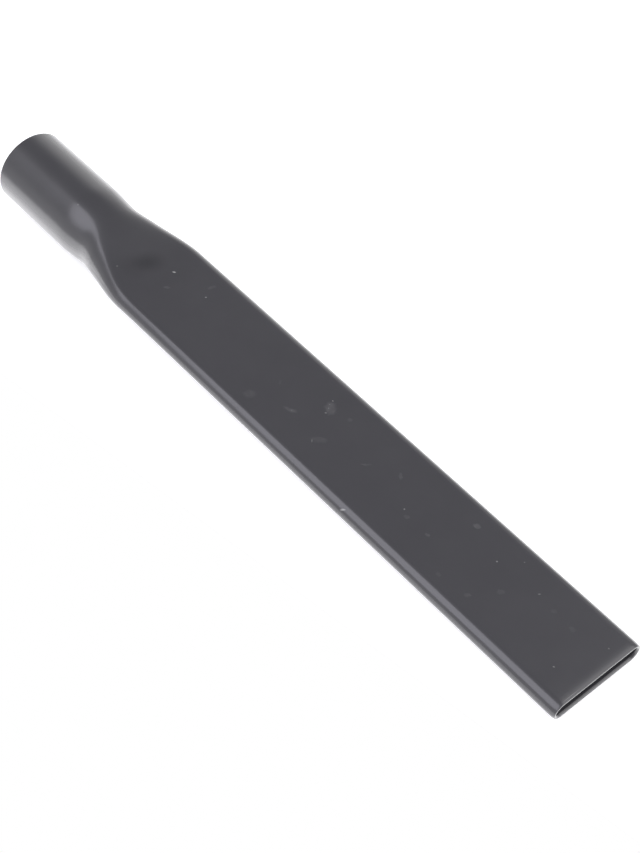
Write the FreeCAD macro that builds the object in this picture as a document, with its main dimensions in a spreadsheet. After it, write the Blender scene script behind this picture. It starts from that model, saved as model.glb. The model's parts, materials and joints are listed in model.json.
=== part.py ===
import FreeCAD, Part
import math
import os
import Sketcher

# Vacuum crevice tool: one moulded tube, round at the socket and squeezed flat into a long slotted blade.
# The body is drawn straight along X from the socket's mouth, with the blade's middle plane at z = 0,
# and is then laid down as it comes to rest, on the socket's underside and the blade's tip.

doc = FreeCAD.newDocument("crevice_tool")

# Driving dimensions, in millimetres
sizes = doc.addObject("Spreadsheet::Sheet", "Sizes")
drivingSizes = {
    "socket_bore": "32",
    "wall": "1.7",
    "socket_length": "45.1",
    "transition_length": "63.2",
    "overall_length": "361",
    "blade_width": "46.5",
    "blade_thickness": "9.3",
    "axis_drop": "2.3",
    "waist_depth": "0.8",
    "rim_round": "0.6",
    "lip_round": "0.3",
}
for row, (alias, value) in enumerate(drivingSizes.items(), start=1):
    sizes.set(f"A{row}", alias)
    sizes.set(f"B{row}", value)
    sizes.setAlias(f"B{row}", alias)
doc.recompute()

# Sizes that follow from the driving ones
socketRadius = "(Sizes.socket_bore / 2 + Sizes.wall)"
bladeHalfWidth = "(Sizes.blade_width / 2)"
bladeHalfHeight = "(Sizes.blade_thickness / 2)"
transitionEnd = "(Sizes.socket_length + Sizes.transition_length)"
bladeLength = f"(Sizes.overall_length - {transitionEnd})"

# How the transition runs, as shares of its length: it flattens all the way, draws in to a slight waist
# on each side, and flares from there
stationCount = 10
waistPlace = 0.23
waistEnd = 0.42
flareStart = 0.23
flareEnd = 0.83

# Where the side arcs of a section meet its crown, in degrees, and how fast that angle opens
firstJointAngle = 48
lastJointAngle = 90
jointPower = 1.5

body = doc.addObject("PartDesign::Body", "CreviceTool")
body.Label = "crevice_tool"
crossPlane = next(plane for plane in body.Origin.OriginFeatures if plane.Role == "YZ_Plane")

# The sketcher's numbers for the points of a piece of geometry, and for a sketch's own axes
startPoint, endPoint, centrePoint = range(1, 4)
acrossAxis, uprightAxis = range(-1, -3, -1)

# The four pieces of a closed profile, in the order in which they are drawn
rightSide, crownPiece, leftSide, floorPiece = range(4)
outline = {rightSide: crownPiece, crownPiece: leftSide, leftSide: floorPiece, floorPiece: rightSide}


def ease(share):
    # Rises from 0 to 1 with a level start and end
    held = min(max(share, 0), 1)
    return held * held * (3 - 2 * held)


def crossSketch(name, station, height):
    # An empty sketch across the tool: its X is the tool's Y and its Y is the tool's Z
    sketch = body.newObject("Sketcher::SketchObject", name)
    sketch.AttachmentSupport = [(crossPlane, "")]
    sketch.MapMode = "FlatFace"
    sketch.setExpression("AttachmentOffset.Base.z", station)
    sketch.setExpression("AttachmentOffset.Base.y", height)
    return sketch


def drive(sketch, constraint, name, expression):
    # Adds a named dimension and ties it to the sizes
    index = sketch.addConstraint(constraint)
    sketch.renameConstraint(index, name)
    sketch.setExpression(f"Constraints.{name}", expression)


def measure(owner, expression):
    # The number that an expression gives now
    result = owner.evalExpression(expression)
    return float(getattr(result, "Value", result))


def circleSketch(name, radius):
    # A round profile at the socket's mouth
    sketch = crossSketch(name, "0", "-Sizes.axis_drop")
    size = measure(sketch, radius)
    circle = sketch.addGeometry(Part.Circle(FreeCAD.Vector(), FreeCAD.Vector(0, 0, 1), size))
    sketch.addConstraint(Sketcher.Constraint("Coincident", circle, centrePoint, acrossAxis, startPoint))
    drive(sketch, Sketcher.Constraint("Radius", circle, size), "round_radius", radius)
    return sketch


def arc(y, z, radius, start, end):
    # An arc of the cross-section, from one angle to another
    circle = Part.Circle(FreeCAD.Vector(y, z, 0), FreeCAD.Vector(0, 0, 1), radius)
    return Part.ArcOfCircle(circle, start, end)


def ovalSketch(name, station, height, angle, values):
    # A closed profile of a crown, a floor and two side arcs that run on smoothly at four mirrored joints
    sketch = crossSketch(name, station, height)
    side = measure(sketch, values["side_radius"])
    crown = measure(sketch, values["crown_radius"])
    jointY = measure(sketch, values["joint_y"])
    jointZ = measure(sketch, values["joint_z"])
    turn = math.radians(angle)
    sideY = jointY - side * math.cos(turn)
    crownZ = jointZ - crown * math.sin(turn)
    sketch.addGeometry(arc(sideY, 0, side, -turn, turn))
    sketch.addGeometry(arc(0, crownZ, crown, turn, math.pi - turn))
    sketch.addGeometry(arc(-sideY, 0, side, math.pi - turn, math.pi + turn))
    sketch.addGeometry(arc(0, -crownZ, crown, math.pi + turn, 2 * math.pi - turn))
    for piece, following in outline.items():
        sketch.addConstraint(Sketcher.Constraint("Coincident", piece, endPoint, following, startPoint))
    for piece, axis in ((crownPiece, uprightAxis), (floorPiece, uprightAxis), (rightSide, acrossAxis)):
        sketch.addConstraint(Sketcher.Constraint("Symmetric", piece, startPoint, piece, endPoint, axis))
    sketch.addConstraint(Sketcher.Constraint("Equal", rightSide, leftSide))
    sketch.addConstraint(Sketcher.Constraint("Equal", crownPiece, floorPiece))
    drive(sketch, Sketcher.Constraint("Radius", rightSide, side), "side_radius", values["side_radius"])
    drive(sketch, Sketcher.Constraint("Radius", crownPiece, crown), "crown_radius", values["crown_radius"])
    joint = (acrossAxis, startPoint, rightSide, endPoint)
    drive(sketch, Sketcher.Constraint("DistanceX", *joint, jointY), "joint_y", values["joint_y"])
    drive(sketch, Sketcher.Constraint("DistanceY", *joint, jointZ), "joint_z", values["joint_z"])
    doc.recompute()
    return sketch


def flatSketch(name, station, values):
    # The blade's profile: two straight faces joined by half rounds
    sketch = crossSketch(name, station, "0")
    side = measure(sketch, values["side_radius"])
    sideY = measure(sketch, values["side_y"])
    quarter = math.pi / 2
    sketch.addGeometry(arc(sideY, 0, side, -quarter, quarter))
    sketch.addGeometry(Part.LineSegment(FreeCAD.Vector(sideY, side), FreeCAD.Vector(-sideY, side)))
    sketch.addGeometry(arc(-sideY, 0, side, quarter, 3 * quarter))
    sketch.addGeometry(Part.LineSegment(FreeCAD.Vector(-sideY, -side), FreeCAD.Vector(sideY, -side)))
    for piece, following in outline.items():
        sketch.addConstraint(Sketcher.Constraint("Tangent", piece, endPoint, following, startPoint))
    mirrored = (rightSide, centrePoint, leftSide, centrePoint)
    sketch.addConstraint(Sketcher.Constraint("Symmetric", *mirrored, acrossAxis, startPoint))
    sketch.addConstraint(Sketcher.Constraint("PointOnObject", rightSide, centrePoint, acrossAxis))
    sketch.addConstraint(Sketcher.Constraint("Horizontal", crownPiece))
    drive(sketch, Sketcher.Constraint("Radius", rightSide, side), "side_radius", values["side_radius"])
    place = (acrossAxis, startPoint, rightSide, centrePoint)
    drive(sketch, Sketcher.Constraint("DistanceX", *place, sideY), "side_y", values["side_y"])
    doc.recompute()
    return sketch


def ovalPair(index):
    # The outer and inner profile at one station of the transition, with the stations closer at its ends
    share = (1 - math.cos(math.pi * index / stationCount)) / 2
    flatten = ease(share)
    flare = ease((share - flareStart) / (flareEnd - flareStart))
    waist = ease(share / waistPlace) - ease((share - waistPlace) / (waistEnd - waistPlace))
    angle = lastJointAngle - (lastJointAngle - firstJointAngle) * (1 - share) ** jointPower
    cosine = math.cos(math.radians(angle))
    sine = math.sin(math.radians(angle))
    station = f"Sizes.socket_length + {share} * Sizes.transition_length"
    height = f"-Sizes.axis_drop * {1 - flatten}"
    widening = f"({bladeHalfWidth} - {socketRadius}) * {flare}"
    halfWidth = f"({socketRadius} + {widening} - Sizes.waist_depth * {waist})"
    halfHeight = f"({socketRadius} + ({bladeHalfHeight} - {socketRadius}) * {flatten})"
    # The distance from a side arc's centre to the crown's, where the two arcs are tangent at the joint
    centres = f"({halfWidth} - {halfHeight}) / {cosine + sine - 1}"
    sideRadius = f"({halfWidth} - {centres} * {cosine})"
    values = {
        "side_radius": sideRadius,
        "crown_radius": f"{sideRadius} + {centres}",
        "joint_y": f"{centres} * {cosine} + {sideRadius} * {cosine}",
        "joint_z": f"{sideRadius} * {sine}",
    }
    outer = ovalSketch(f"OuterSection{index}", station, height, angle, values)
    inset = {"side_radius": 1, "crown_radius": 1, "joint_y": cosine, "joint_z": sine}
    insideValues = {key: f"{values[key]} - Sizes.wall * {inset[key]}" for key in values}
    inner = ovalSketch(f"InnerSection{index}", station, height, angle, insideValues)
    return outer, inner


def flatPair():
    # The outer and inner profile where the transition meets the blade
    values = {"side_radius": bladeHalfHeight, "side_y": f"{bladeHalfWidth} - {bladeHalfHeight}"}
    outer = flatSketch("OuterSectionFlat", transitionEnd, values)
    values["side_radius"] = f"{bladeHalfHeight} - Sizes.wall"
    inner = flatSketch("InnerSectionFlat", transitionEnd, values)
    return outer, inner


def extrude(kind, name, profile, length, reversedWay):
    # A pad or pocket of one profile
    feature = body.newObject(kind, name)
    feature.Profile = profile
    feature.setExpression("Length", length)
    feature.Reversed = reversedWay
    doc.recompute()
    return feature


def loft(kind, name, profiles):
    # A smooth loft through the profiles in turn
    feature = body.newObject(kind, name)
    feature.Profile = profiles[0]
    feature.Sections = list(profiles[1:])
    feature.Ruled = False
    doc.recompute()
    return feature


def roundEnds(name, base, size, outside):
    # Rounds the edges of both open ends, on the outside or on the inside of the wall
    length = measure(base, "Sizes.overall_length")
    near = 1e-4
    ends = {}
    for index, edge in enumerate(base.Shape.Edges, start=1):
        box = edge.BoundBox
        for place in (0, length):
            if abs(box.XMin - place) < near and abs(box.XMax - place) < near:
                ends.setdefault(place, []).append((f"Edge{index}", edge))
    chosen = []
    for place, found in ends.items():
        wires = [Part.Wire(group) for group in Part.sortEdges([edge for _, edge in found])]
        wires.sort(key=lambda wire: wire.Length)
        wanted = wires[-1] if outside else wires[0]
        chosen += [label for label, edge in found if any(edge.isSame(own) for own in wanted.Edges)]
    feature = body.newObject("PartDesign::Fillet", name)
    feature.Base = (base, chosen)
    feature.setExpression("Radius", size)
    doc.recompute()
    return feature


sectionPairs = [ovalPair(index) for index in range(stationCount)] + [flatPair()]
outerSections, innerSections = zip(*sectionPairs)

socketWall = extrude("PartDesign::Pad", "SocketWall", circleSketch("SocketRound", socketRadius),
                     "Sizes.socket_length", False)
shoulders = loft("PartDesign::AdditiveLoft", "Shoulders", outerSections)
blade = extrude("PartDesign::Pad", "Blade", outerSections[-1], bladeLength, False)
bore = extrude("PartDesign::Pocket", "Bore", circleSketch("BoreRound", "Sizes.socket_bore / 2"),
               "Sizes.socket_length", True)
funnel = loft("PartDesign::SubtractiveLoft", "Funnel", innerSections)
slot = extrude("PartDesign::Pocket", "Slot", innerSections[-1], bladeLength, True)
rim = roundEnds("Rim", slot, "Sizes.rim_round", True)
lip = roundEnds("Lip", rim, "Sizes.lip_round", False)
body.Tip = lip

# Laid down at rest, with the middle of its footprint over the origin
restDrop = f"({socketRadius} + Sizes.axis_drop - {bladeHalfHeight})"
restSpan = "(Sizes.overall_length - Sizes.rim_round - Sizes.socket_length)"
restTilt = f"atan({restDrop} / {restSpan})"
restMiddle = f"(Sizes.overall_length * cos({restTilt}) - {restDrop} * sin({restTilt})) / 2"
restLift = f"Sizes.socket_length * sin({restTilt}) + ({socketRadius} + Sizes.axis_drop) * cos({restTilt})"
startTilt = 1
body.Placement = FreeCAD.Placement(FreeCAD.Vector(), FreeCAD.Rotation(FreeCAD.Vector(0, 1, 0), startTilt))
body.setExpression("Placement.Rotation.Angle", restTilt)
body.setExpression("Placement.Base.x", f"-{restMiddle}")
body.setExpression("Placement.Base.z", restLift)
doc.recompute()

for item in doc.Objects:
    if "Invalid" in item.State or "Error" in item.State:
        raise RuntimeError(f"{item.Name} did not build: {item.State}")
    if hasattr(item, "Shape") and (item.Shape.isNull() or not item.Shape.isValid()):
        raise RuntimeError(f"{item.Name} has no valid shape")
cuts = {bore: blade, funnel: bore, slot: funnel}
for cut, before in cuts.items():
    if cut.Shape.Volume >= before.Shape.Volume:
        raise RuntimeError(f"{cut.Name} cuts nothing")

os.makedirs("parts", exist_ok=True)
body.Shape.exportStep(f"parts/{body.Label}.step")
print(body.Label, round(body.Shape.Volume), "mm3", body.Shape.BoundBox)
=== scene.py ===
import json
import math
import bmesh
import bpy
from mathutils import Matrix, Vector


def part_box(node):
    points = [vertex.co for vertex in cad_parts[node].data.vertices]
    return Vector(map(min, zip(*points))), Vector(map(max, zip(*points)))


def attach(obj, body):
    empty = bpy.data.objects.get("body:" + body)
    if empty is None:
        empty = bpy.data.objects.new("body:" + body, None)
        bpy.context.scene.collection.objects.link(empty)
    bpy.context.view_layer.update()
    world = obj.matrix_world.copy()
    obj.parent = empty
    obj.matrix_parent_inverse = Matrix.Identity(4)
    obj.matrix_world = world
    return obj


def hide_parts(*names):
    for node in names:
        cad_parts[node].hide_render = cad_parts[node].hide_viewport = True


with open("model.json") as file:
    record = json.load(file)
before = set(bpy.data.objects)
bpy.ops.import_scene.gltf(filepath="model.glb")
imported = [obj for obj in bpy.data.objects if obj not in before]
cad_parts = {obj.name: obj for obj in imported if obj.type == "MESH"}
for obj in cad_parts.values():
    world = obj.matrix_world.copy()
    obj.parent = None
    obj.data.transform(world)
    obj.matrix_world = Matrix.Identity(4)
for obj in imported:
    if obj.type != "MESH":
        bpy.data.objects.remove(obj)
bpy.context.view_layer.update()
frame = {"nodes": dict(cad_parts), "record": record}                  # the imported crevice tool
print("frame loaded:", sorted(frame["nodes"]))

# the moulded tube, in metres, drawn along X from the socket's mouth
toolShape = {
    "wall": 0.0017,
    "transitionLength": 0.0632,    # from the round socket to the flat blade
    "overallLength": 0.361,
    "bladeWidth": 0.0465,
    "bladeThickness": 0.0093,
    "axisRise": 0.0023,            # the blade's middle above the socket's axis
    "waistDepth": 0.0008,          # each side draws in before it widens
    "waistPlace": 0.23,            # shares of the transition
    "waistEnd": 0.42,
    "flareStart": 0.23,
    "flareEnd": 0.83,
    "firstJoint": 48,              # degrees, where the side arcs meet the crown at the socket
    "lastJoint": 90,
    "jointPower": 1.5,             # how fast that angle opens
    "rimRound": 0.0006,            # outside edge of the socket's mouth
    "lipRound": 0.0003,            # inside edge of the socket's mouth
    "slotRimRound": 0.0002,        # outside edge of the slot
    "slotLipRound": 0.0011,        # inside edge of the slot
    "rollLength": 0.0042,          # the outside of the wall eases in before the slot
    "rollDepth": 0.0003,
    "sideSteps": 28,               # faces along each of the four arcs of a section
    "socketRings": 8,
    "shoulderRings": 60,
    "bladeRings": 44,
    "rollRings": 6,
    "roundSteps": 6,               # faces across a rounded edge
    "squareAngle": 60,             # degrees, past which an edge of the open ends is a square one
}
socketMount = next(mount for mount in frame["record"]["mounts"] if mount["name"] == "socket")
socketAxis = Vector(socketMount["axis"])                         # out of the mouth
boreLength = socketMount["dims"]["length_mm"] / 1000
socketLength = boreLength + toolShape["lipRound"]
socketRadius = socketMount["dims"]["r_mm"] / 1000 + toolShape["wall"]
mouthCentre = Vector(socketMount["pos_m"]) + socketAxis * (boreLength / 2 + toolShape["lipRound"])
restTilt = math.asin(socketAxis.z)                               # the tip lies lower than the socket
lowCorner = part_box("crevice_tool")[0]
bladeHalfWidth = toolShape["bladeWidth"] / 2
bladeHalfHeight = toolShape["bladeThickness"] / 2
restPlace = Matrix.Translation(mouthCentre) @ Matrix.Rotation(restTilt, 4, "Y")


def ease(share):                   # rises from 0 to 1 with a level start and end
    held = min(max(share, 0), 1)
    return held * held * (3 - 2 * held)


def easeBetween(share, start, end):
    return ease((share - start) / (end - start))


def blendSizes(start, end, share):
    return start + (end - start) * share


def sectionAt(along):              # half width, half height, joint angle and rise of the tube there
    share = min(max((along - socketLength) / toolShape["transitionLength"], 0), 1)
    flatten = ease(share)
    waistPlace, waistEnd = toolShape["waistPlace"], toolShape["waistEnd"]
    waist = easeBetween(share, 0, waistPlace) - easeBetween(share, waistPlace, waistEnd)
    flare = easeBetween(share, toolShape["flareStart"], toolShape["flareEnd"])
    jointTurn = (toolShape["lastJoint"] - toolShape["firstJoint"]) * (1 - share) ** toolShape["jointPower"]
    return {
        "halfWidth": blendSizes(socketRadius, bladeHalfWidth, flare) - toolShape["waistDepth"] * waist,
        "halfHeight": blendSizes(socketRadius, bladeHalfHeight, flatten),
        "joint": math.radians(toolShape["lastJoint"] - jointTurn),
        "rise": toolShape["axisRise"] * flatten,
        "flat": share == 1,
    }


def outlinePoint(section, place):  # on the side arc or the crown, then on the same turned half round
    piece, step = divmod(place, toolShape["sideSteps"])
    share = step / toolShape["sideSteps"]
    halfWidth, halfHeight, joint = section["halfWidth"], section["halfHeight"], section["joint"]
    reach = math.cos(joint) + math.sin(joint) - 1
    spread = 0 if section["flat"] else (halfWidth - halfHeight) / reach
    sideY = halfWidth - halfHeight if section["flat"] else spread * math.cos(joint)
    sideRadius = halfWidth - sideY
    if piece % 2 == 0:
        turn = joint * (2 * share - 1)
        y, z = sideY + sideRadius * math.cos(turn), sideRadius * math.sin(turn)
    elif section["flat"]:
        y, z = sideY * (1 - 2 * share), halfHeight
    else:
        turn = joint + (math.pi - 2 * joint) * share
        crownRadius = sideRadius + spread
        y, z = crownRadius * math.cos(turn), crownRadius * math.sin(turn) - spread * math.sin(joint)
    return (y, z) if piece < 2 else (-y, -z)


def spaced(start, end, count):
    return [blendSizes(start, end, index / count) for index in range(count)]


def ringStations():                # where the rings stand, with guard rings beside the rounded ends
    length, guard = toolShape["overallLength"], 2 * toolShape["rimRound"]
    shoulderEnd = socketLength + toolShape["transitionLength"]
    rollStart = length - toolShape["rollLength"]
    return ([0] + spaced(guard, socketLength, toolShape["socketRings"])
            + spaced(socketLength, shoulderEnd, toolShape["shoulderRings"])
            + spaced(shoulderEnd, rollStart, toolShape["bladeRings"])
            + spaced(rollStart, length - guard, toolShape["rollRings"]) + [length - guard, length])


def openEndEdges(bm, atSlot, outside):  # the square edges of one end, outside or inside of the wall
    found = []
    squareAngle = math.radians(toolShape["squareAngle"])
    for edge in bm.edges:
        if len(edge.link_faces) == 2 and edge.calc_face_angle() > squareAngle:
            middle = (edge.verts[0].co + edge.verts[1].co) / 2
            outward = Vector((0, middle.y, middle.z - sectionAt(middle.x)["rise"]))
            wallFace = min(edge.link_faces, key=lambda face: abs(face.normal.x))
            if (wallFace.normal.dot(outward) > 0) == outside and (middle.x > socketLength) == atSlot:
                found.append(edge)
    return found


def roundEnds(bm):
    for name, atSlot, outside in (("rimRound", False, True), ("lipRound", False, False),
                                  ("slotRimRound", True, True), ("slotLipRound", True, False)):
        edges = openEndEdges(bm, atSlot, outside)
        bmesh.ops.bevel(bm, geom=edges, offset=toolShape[name], offset_type="OFFSET", affect="EDGES",
                        segments=toolShape["roundSteps"], profile=0.5, material=-1)


def rollSlotRim(bm):               # eases the outside in before the slot, and leaves the passage straight
    spine = bladeHalfWidth - bladeHalfHeight
    for vert in bm.verts:
        share = 1 - (toolShape["overallLength"] - vert.co.x) / toolShape["rollLength"]
        if share > 0:
            outward = vert.co - Vector((vert.co.x, min(max(vert.co.y, -spine), spine), toolShape["axisRise"]))
            skinShare = 1 - (bladeHalfHeight - outward.length) / toolShape["wall"]
            depth = toolShape["rollDepth"] * (1 - math.sqrt(max(1 - share * share, 0)))
            vert.co -= outward.normalized() * depth * skinShare


def buildTool():
    bm = bmesh.new()
    placeLayer = bm.verts.layers.int.new("place")
    ring = bmesh.ops.create_circle(bm, segments=4 * toolShape["sideSteps"], radius=socketRadius)["verts"]
    for place, vert in enumerate(ring):
        vert[placeLayer] = place
    edges = list(bm.edges)
    for index, along in enumerate(ringStations()):
        if index:
            grown = bmesh.ops.extrude_edge_only(bm, edges=edges)["geom"]
            ring = {item for item in grown if isinstance(item, bmesh.types.BMVert)}
            edges = [item for item in grown
                     if isinstance(item, bmesh.types.BMEdge) and ring.issuperset(item.verts)]
        section = sectionAt(along)
        for vert in ring:
            y, z = outlinePoint(section, vert[placeLayer])
            vert.co = (along, y, z + section["rise"])
    bmesh.ops.recalc_face_normals(bm, faces=bm.faces)
    bmesh.ops.solidify(bm, geom=list(bm.faces), thickness=toolShape["wall"])
    bm.normal_update()
    roundEnds(bm)
    rollSlotRim(bm)
    bmesh.ops.transform(bm, matrix=restPlace, verts=bm.verts)
    for face in bm.faces:
        face.smooth = True
    mesh = bpy.data.meshes.new("crevice_tool_skin")
    bm.to_mesh(mesh)
    bm.free()
    tool = bpy.data.objects.new("crevice_tool_skin", mesh)
    bpy.context.scene.collection.objects.link(tool)
    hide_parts("crevice_tool")
    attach(tool, "root")
    return tool


tool = buildTool()
print("tube modelled:", len(tool.data.polygons), "faces")


class Wire:                        # a shader socket that adds Math nodes when it is used in a sum
    def __init__(self, tree, socket=None):
        self.tree = tree
        self.socket = socket

    def node(self, kind, settings, inputs, output=0):
        made = self.tree.nodes.new(kind)
        for name, value in settings.items():
            setattr(made, name, value)
        for name, value in inputs.items():
            if isinstance(value, Wire):
                self.tree.links.new(value.socket, made.inputs[name])
            else:
                made.inputs[name].default_value = value
        return Wire(self.tree, made.outputs[output] if made.outputs else None)

    def math(self, operation, first, second):
        return self.node("ShaderNodeMath", {"operation": operation}, {0: first, 1: second})

    def __add__(self, other):
        return self.math("ADD", self, other)

    def __radd__(self, other):
        return self.math("ADD", other, self)

    def __sub__(self, other):
        return self.math("SUBTRACT", self, other)

    def __rsub__(self, other):
        return self.math("SUBTRACT", other, self)

    def __mul__(self, other):
        return self.math("MULTIPLY", self, other)

    def __rmul__(self, other):
        return self.math("MULTIPLY", other, self)


def emptyMaterial(name):
    material = bpy.data.materials.new(name)
    material.use_nodes = True
    material.node_tree.nodes.clear()
    return material, Wire(material.node_tree)


# dark grey plastic with a soft sheen; its colour also holds painted shade on the shoulder and a painted
# highlight at the slot's rim
plasticLook = {
    "colour": (0.0452, 0.0442, 0.0502, 1),
    "lightColour": (0.0512, 0.0502, 0.0562, 1),
    "smearColour": (0.095, 0.094, 0.1, 1),
    # the colour of the pale specks and of the painted highlight at the slot's rim
    "speckAndHighlightColour": (0.38, 0.38, 0.38, 1),
    # the colour of the painted shade where the shoulder has a shallow dent
    "paintedShadeColour": (0.022, 0.0215, 0.025, 1),
    "roughness": 0.21,
    "smearRoughness": 0.12,        # added where the plastic is smeared
    "ior": 1.58,
    "mottleSize": 60.0,            # noise scales, per metre
    "mottleDetail": 3.0,
    "mottleGloss": 0.04,
    "grainSize": 2200.0,
    "grainHeight": 0.00001,
    "fineDetail": 2.0,             # of the grain and of the marks
    "raggedSize": 600.0,           # the marks have uneven outlines
    "raggedDepth": 0.0018,
    "patchSize": 450.0,            # and are thicker in places
    "patchDepth": 1.7,
    "markDepth": 0.003,            # how far a mark reaches into the wall
    "smearCore": 0.45,             # share of a mark that has its full strength
    "speckAndHighlightCore": 0.2,
    "paintedShadeCore": 0.0,
}

# marks of use, with painted shade and a painted highlight, in metres: along the tool from the socket's mouth,
# across it, half length and half width, then the turn in degrees and the strength
driedSmears = {
    "shoulder_smear": (0.1065, -0.0028, 0.0022, 0.0008, 50, 0.3),
    "far_scuff": (0.1185, 0.0123, 0.0026, 0.0011, 75, 0.22),
    "faint_smear": (0.1785, 0.0003, 0.0018, 0.0009, -43, 0.15),
    "ring_smear": (0.1755, -0.0136, 0.0035, 0.0027, 53, 0.22),
    "streak": (0.1925, -0.0060, 0.0038, 0.0013, 23, 0.36),
    "blotch": (0.2025, 0.0073, 0.0043, 0.0032, -43, 0.46),
    "short_smear": (0.2120, -0.0072, 0.0042, 0.0019, 40, 0.24),
    "pale_scuff": (0.2120, 0.0095, 0.0017, 0.0012, 20, 0.22),
    "arc_scratch": (0.2335, -0.0009, 0.0031, 0.0006, 50, 0.27),
    "tick": (0.2465, 0.0060, 0.0022, 0.0008, -35, 0.3),
    "tick_shade": (0.2630, -0.0060, 0.0017, 0.0012, 10, 0.22),
    "small_blotch": (0.2745, -0.0054, 0.0014, 0.0010, 30, 0.4),
    "far_blotch": (0.2835, 0.0123, 0.0020, 0.0014, 30, 0.4),
    "near_dab": (0.2905, -0.0150, 0.0013, 0.0011, 0, 0.16),
    "near_dash": (0.3045, -0.0129, 0.0016, 0.0011, 40, 0.28),
    "middle_dab": (0.3115, -0.0022, 0.0022, 0.0015, 55, 0.21),
    "tip_dab": (0.3305, 0.0073, 0.0015, 0.0010, 40, 0.13),
    "tip_shade": (0.3405, 0.0066, 0.0018, 0.0014, 0, 0.16),
}
# pale specks of dirt; the last entry is a painted highlight along the slot's rim
paleSpecksAndRimHighlight = {
    "shoulder_speck": (0.0485, -0.0076, 0.0005, 0.0004, 0, 0.25),
    "waist_speck": (0.0845, -0.0133, 0.0006, 0.0003, 60, 0.3),
    "bright_fleck": (0.1013, 0.0050, 0.0011, 0.0005, 40, 0.8),
    "far_speck": (0.1215, 0.0066, 0.0006, 0.0004, 50, 0.5),
    "blotch_top": (0.2000, 0.0107, 0.0005, 0.0004, 0, 0.4),
    "blotch_foot": (0.2030, 0.0042, 0.0007, 0.0004, 40, 0.35),
    "smear_tick": (0.2105, -0.0098, 0.0012, 0.0003, -43, 0.24),
    "edge_fleck": (0.2435, -0.0222, 0.0016, 0.0004, 26, 0.7),
    "dot_before_tip": (0.2595, -0.0041, 0.0005, 0.0005, 0, 0.35),
    "bright_dot": (0.3005, 0.0066, 0.0005, 0.0005, 0, 0.42),
    "dim_dot": (0.3075, 0.0146, 0.0004, 0.0004, 0, 0.2),
    "tip_dash": (0.3215, 0.0085, 0.0008, 0.0004, 53, 0.25),
    "tip_speck": (0.3475, -0.0104, 0.0006, 0.0004, 30, 0.35),
    "rim_speck": (0.3550, 0.0112, 0.0005, 0.0004, 0, 0.22),
    # painted highlight: a thin pale line along the slot's rim stands in for the light on a small bead there
    "rim_painted_highlight": (0.3601, -0.0145, 0.0058, 0.0002, 90, 0.2),
}
# painted shade: two dark patches on the shoulder stand in for the shading of a shallow dent there
paintedDentShades = {
    "shoulder_dent_shade": (0.0909, -0.0003, 0.0105, 0.0075, 50, 0.5),
    "shoulder_shade": (0.0885, -0.0072, 0.0130, 0.0095, 20, 0.24),
}


def skinHeight(along, across):     # the upper skin, over the socket's axis
    section = sectionAt(along)
    quarter = toolShape["sideSteps"] // 2
    upper = [outlinePoint(section, place) for place in range(quarter, 5 * quarter)]
    return section["rise"] + min(upper, key=lambda point: abs(point[0] - across))[1]


def markMask(wire, coords, mark, core):  # the strength in the middle of a mark, and 0 from its outline on
    along, across, halfLength, halfWidth, turn, strength = mark
    turned = restPlace.to_3x3() @ Matrix.Rotation(math.radians(turn), 3, "Z")
    local = wire.node("ShaderNodeMapping", {"vector_type": "TEXTURE"}, {
        "Vector": coords, "Location": restPlace @ Vector((along, across, skinHeight(along, across))),
        "Rotation": turned.to_euler(), "Scale": (halfLength, halfWidth, plasticLook["markDepth"])})
    reach = wire.node("ShaderNodeVectorMath", {"operation": "LENGTH"}, {0: local}, "Value")
    return wire.node("ShaderNodeMapRange", {"interpolation_type": "SMOOTHSTEP"},
                     {"Value": reach, "From Min": 1.0, "From Max": core, "To Min": 0.0, "To Max": strength})


def allMarks(wire, coords, marks, core):
    total = 0.0
    for mark in marks.values():
        total = total + markMask(wire, coords, mark, core)
    return total


def mixColours(wire, factor, first, second):  # sockets 6 and 7 take the colours
    return wire.node("ShaderNodeMix", {"data_type": "RGBA"}, {"Factor": factor, 6: first, 7: second}, 2)


def noiseOn(wire, coords, size, detail, output=0):
    return wire.node("ShaderNodeTexNoise", {}, {"Vector": coords, "Scale": size, "Detail": detail}, output)


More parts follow.
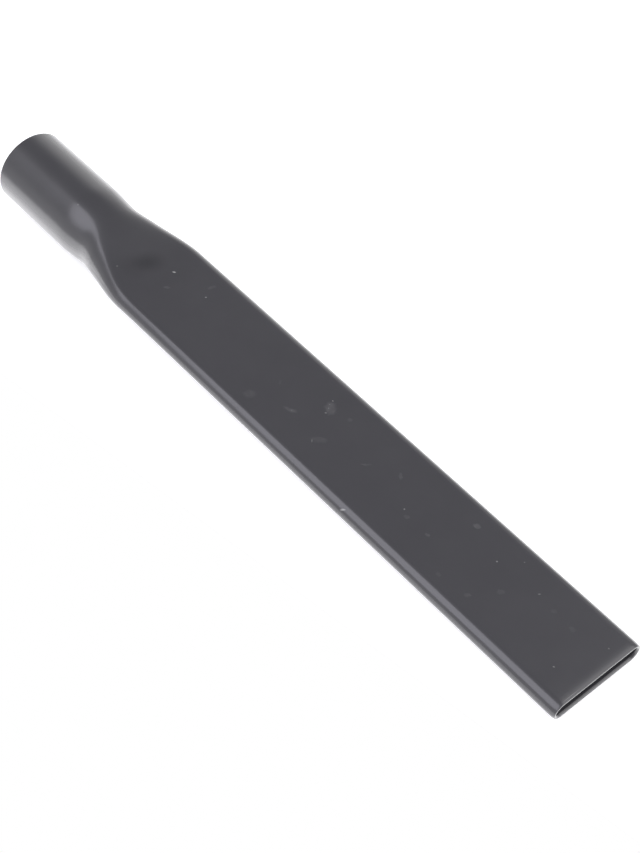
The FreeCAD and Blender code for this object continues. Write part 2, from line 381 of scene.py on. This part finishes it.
def plasticMaterial():
    material, wire = emptyMaterial("dark_grey_plastic")
    coords = wire.node("ShaderNodeTexCoord", {}, {}, "Object")
    fine = plasticLook["fineDetail"]
    mottle = noiseOn(wire, coords, plasticLook["mottleSize"], plasticLook["mottleDetail"])
    grain = noiseOn(wire, coords, plasticLook["grainSize"], fine)
    waver = noiseOn(wire, coords, plasticLook["raggedSize"], fine, "Color")
    patchy = noiseOn(wire, coords, plasticLook["patchSize"], fine)
    centred = wire.node("ShaderNodeVectorMath", {"operation": "SUBTRACT"}, {0: waver, 1: (0.5, 0.5, 0.5)})
    ragged = wire.node("ShaderNodeVectorMath", {"operation": "MULTIPLY_ADD"},
                       {0: centred, 1: (plasticLook["raggedDepth"],) * 3, 2: coords})
    thickness = plasticLook["patchDepth"] * (patchy - 0.5) + 1
    smears = allMarks(wire, ragged, driedSmears, plasticLook["smearCore"]) * thickness
    specksAndHighlight = allMarks(wire, coords, paleSpecksAndRimHighlight, plasticLook["speckAndHighlightCore"])
    paintedShade = allMarks(wire, coords, paintedDentShades, plasticLook["paintedShadeCore"])
    colour = mixColours(wire, mottle, plasticLook["colour"], plasticLook["lightColour"])
    # painted shade where the shoulder has a shallow dent
    colour = mixColours(wire, paintedShade, colour, plasticLook["paintedShadeColour"])
    colour = mixColours(wire, smears, colour, plasticLook["smearColour"])
    # pale specks, and the painted highlight along the slot's rim
    colour = mixColours(wire, specksAndHighlight, colour, plasticLook["speckAndHighlightColour"])
    bump = wire.node("ShaderNodeBump", {}, {"Height": grain, "Distance": plasticLook["grainHeight"]})
    gloss = plasticLook["roughness"] + plasticLook["mottleGloss"] * (mottle - 0.5)
    shader = wire.node("ShaderNodeBsdfPrincipled", {}, {
        "Base Color": colour,
        "Roughness": gloss + plasticLook["smearRoughness"] * smears,
        "IOR": plasticLook["ior"],
        "Normal": bump,
    })
    wire.node("ShaderNodeOutputMaterial", {}, {"Surface": shader})
    return material


tool.data.materials.append(plasticMaterial())
print("plastic painted")

# a white table: the glow makes it white to the camera and in reflections, and leaves the shadow
table = {
    "lowX": -0.40,
    "highX": 0.45,
    "lowY": -0.0635,               # its near edge runs close along the tool
    "highY": 0.45,
    "turn": 7.25,                  # degrees
    "colour": (0.95, 0.95, 0.95, 1),
    "cameraGlow": 0.42,
    "mirrorGlow": 1.0,
}


def tableGlow(wire):
    camera, glossy, through = (wire.node("ShaderNodeLightPath", {}, {}, name)
                               for name in ("Is Camera Ray", "Is Glossy Ray", "Is Transmission Ray"))
    return camera * table["cameraGlow"] + wire.math("MAXIMUM", glossy, through) * table["mirrorGlow"]


def buildTable():
    bm = bmesh.new()
    bmesh.ops.create_grid(bm, x_segments=1, y_segments=1, size=0.5)  # a metre square, then scaled
    spread = (table["highX"] - table["lowX"], table["highY"] - table["lowY"], 1)
    bmesh.ops.scale(bm, vec=spread, verts=bm.verts)
    middle = ((table["highX"] + table["lowX"]) / 2, (table["highY"] + table["lowY"]) / 2, lowCorner.z)
    bmesh.ops.translate(bm, vec=middle, verts=bm.verts)
    turned = Matrix.Rotation(math.radians(table["turn"]), 3, "Z")
    bmesh.ops.rotate(bm, matrix=turned, verts=bm.verts)
    mesh = bpy.data.meshes.new("table_top")
    bm.to_mesh(mesh)
    bm.free()
    top = bpy.data.objects.new("table_top", mesh)
    bpy.context.scene.collection.objects.link(top)
    material, wire = emptyMaterial("white_table")
    paper = wire.node("ShaderNodeBsdfDiffuse", {}, {"Color": table["colour"]})
    glow = wire.node("ShaderNodeEmission", {}, {"Strength": tableGlow(wire)})
    surface = wire.node("ShaderNodeAddShader", {}, {0: paper, 1: glow})
    wire.node("ShaderNodeOutputMaterial", {}, {"Surface": surface})
    mesh.materials.append(material)


buildTable()
print("table laid")

# soft boxes: places and sizes in metres, roll in degrees, brightness against white
softBoxes = {
    "key_box": {"place": (-0.274, -1.254, 1.262), "aim": (0.05, 0, 0.012), "wide": 1.66, "tall": 1.76,
                "roll": 20, "brightness": 2.25, "tint": (0.97, 0.96, 1.07)},
    "right_box": {"place": (0.53, 0.61, 0.85), "aim": (0.18, 0, 0), "wide": 0.93, "tall": 0.93,
                  "roll": 0, "brightness": 1.6, "tint": (1, 1, 1)},
    "front_box": {"place": (1.02, 0.45, 0.31), "aim": (0.18, 0, 0), "wide": 0.5, "tall": 0.5,
                  "roll": 0, "brightness": 2.6, "tint": (1, 1, 1)},
    "socket_panel": {"place": (-0.2, -0.045, 0.0005), "aim": (-0.2, -0.045, 1), "wide": 0.14, "tall": 0.05,
                     "roll": 0, "brightness": 0.7, "tint": (1, 1, 1)},
    "tip_panel": {"place": (0.226, 0.01, 0.0005), "aim": (0.226, 0.01, 1), "wide": 0.094, "tall": 0.08,
                  "roll": 0, "brightness": 0.6, "tint": (1, 1, 1)},
}
# the room round them, and softly edged patches that are darker or lighter than the rest of it
# full is the angle where a patch has all its strength, and edge where it ends
roomLight = 0.64
roomPatches = {
    "dark_ceiling": {"bearing": 148, "height": 58, "full": 10, "edge": 37, "brightness": -0.37},
    "far_wall": {"bearing": 145, "height": 9, "full": 3, "edge": 38, "brightness": 0.98},
    "left_wall": {"bearing": -165, "height": 20, "full": 3, "edge": 35, "brightness": 0.2},
    "white_floor": {"bearing": 0, "height": -90, "full": 92, "edge": 112, "brightness": 0.36},
}


def towards(bearing, height):      # the direction of a patch, from degrees
    turn, rise = math.radians(bearing), math.radians(height)
    return Vector((math.cos(turn) * math.cos(rise), math.sin(turn) * math.cos(rise), math.sin(rise)))


def buildLamps():
    for name, box in softBoxes.items():
        lamp = bpy.data.lights.new(name, "AREA")
        lamp.shape = "RECTANGLE"
        lamp.size = box["wide"]
        lamp.size_y = box["tall"]
        lamp.energy = box["brightness"] * math.pi * box["wide"] * box["tall"]
        lamp.color = box["tint"]
        holder = bpy.data.objects.new(name, lamp)
        outward = Vector(box["place"]) - Vector(box["aim"])
        holder.location = box["place"]
        facing = outward.to_track_quat("Z", "Y").to_matrix()
        holder.rotation_euler = (facing @ Matrix.Rotation(math.radians(box["roll"]), 3, "Z")).to_euler()
        holder.visible_camera = False
        bpy.context.scene.collection.objects.link(holder)


def buildRoom():
    world = bpy.data.worlds.new("studio")
    world.use_nodes = True
    world.node_tree.nodes.clear()
    wire = Wire(world.node_tree)
    direction = wire.node("ShaderNodeTexCoord", {}, {}, "Generated")
    light = roomLight
    for patch in roomPatches.values():
        near = wire.node("ShaderNodeVectorMath", {"operation": "DOT_PRODUCT"},
                         {0: direction, 1: towards(patch["bearing"], patch["height"])}, "Value")
        spot = wire.node("ShaderNodeMapRange", {"interpolation_type": "SMOOTHSTEP"}, {
            "Value": near, "From Min": math.cos(math.radians(patch["edge"])),
            "From Max": math.cos(math.radians(patch["full"]))})
        light = light + spot * patch["brightness"]
    glow = wire.node("ShaderNodeBackground", {}, {"Color": (1, 1, 1, 1), "Strength": light})
    wire.node("ShaderNodeOutputWorld", {}, {"Surface": glow})
    bpy.context.scene.world = world


buildLamps()
buildRoom()
bpy.context.scene.view_settings.view_transform = "Standard"
print("studio lit")

# the photograph's view: it looks along the tool from the tip's end, from above
cameraView = {
    "target": (0.00054, 0, 0.01338),
    "azimuth": 49.937,
    "elevation": 47.572,
    "roll": -0.321,
    "distance": 0.7604,
    "lens": 76.98,
    "shift": (0.04404, -0.03947),
    "nearest": 0.01,               # metres, where the view starts
}


def buildCamera():
    lens = bpy.data.cameras.new("camera")
    lens.lens = cameraView["lens"]
    lens.shift_x, lens.shift_y = cameraView["shift"]
    lens.clip_start = cameraView["nearest"]
    camera = bpy.data.objects.new("camera", lens)
    azimuth, elevation = math.radians(cameraView["azimuth"]), math.radians(cameraView["elevation"])
    turned = (Matrix.Rotation(azimuth, 4, "Z") @ Matrix.Rotation(math.pi / 2 - elevation, 4, "X")
              @ Matrix.Rotation(math.radians(cameraView["roll"]), 4, "Z"))
    back = turned.to_3x3() @ Vector((0, 0, 1))
    stand = Vector(cameraView["target"]) + back * cameraView["distance"]
    camera.matrix_world = Matrix.Translation(stand) @ turned
    bpy.context.scene.collection.objects.link(camera)
    bpy.context.scene.camera = camera


buildCamera()
print("camera placed")
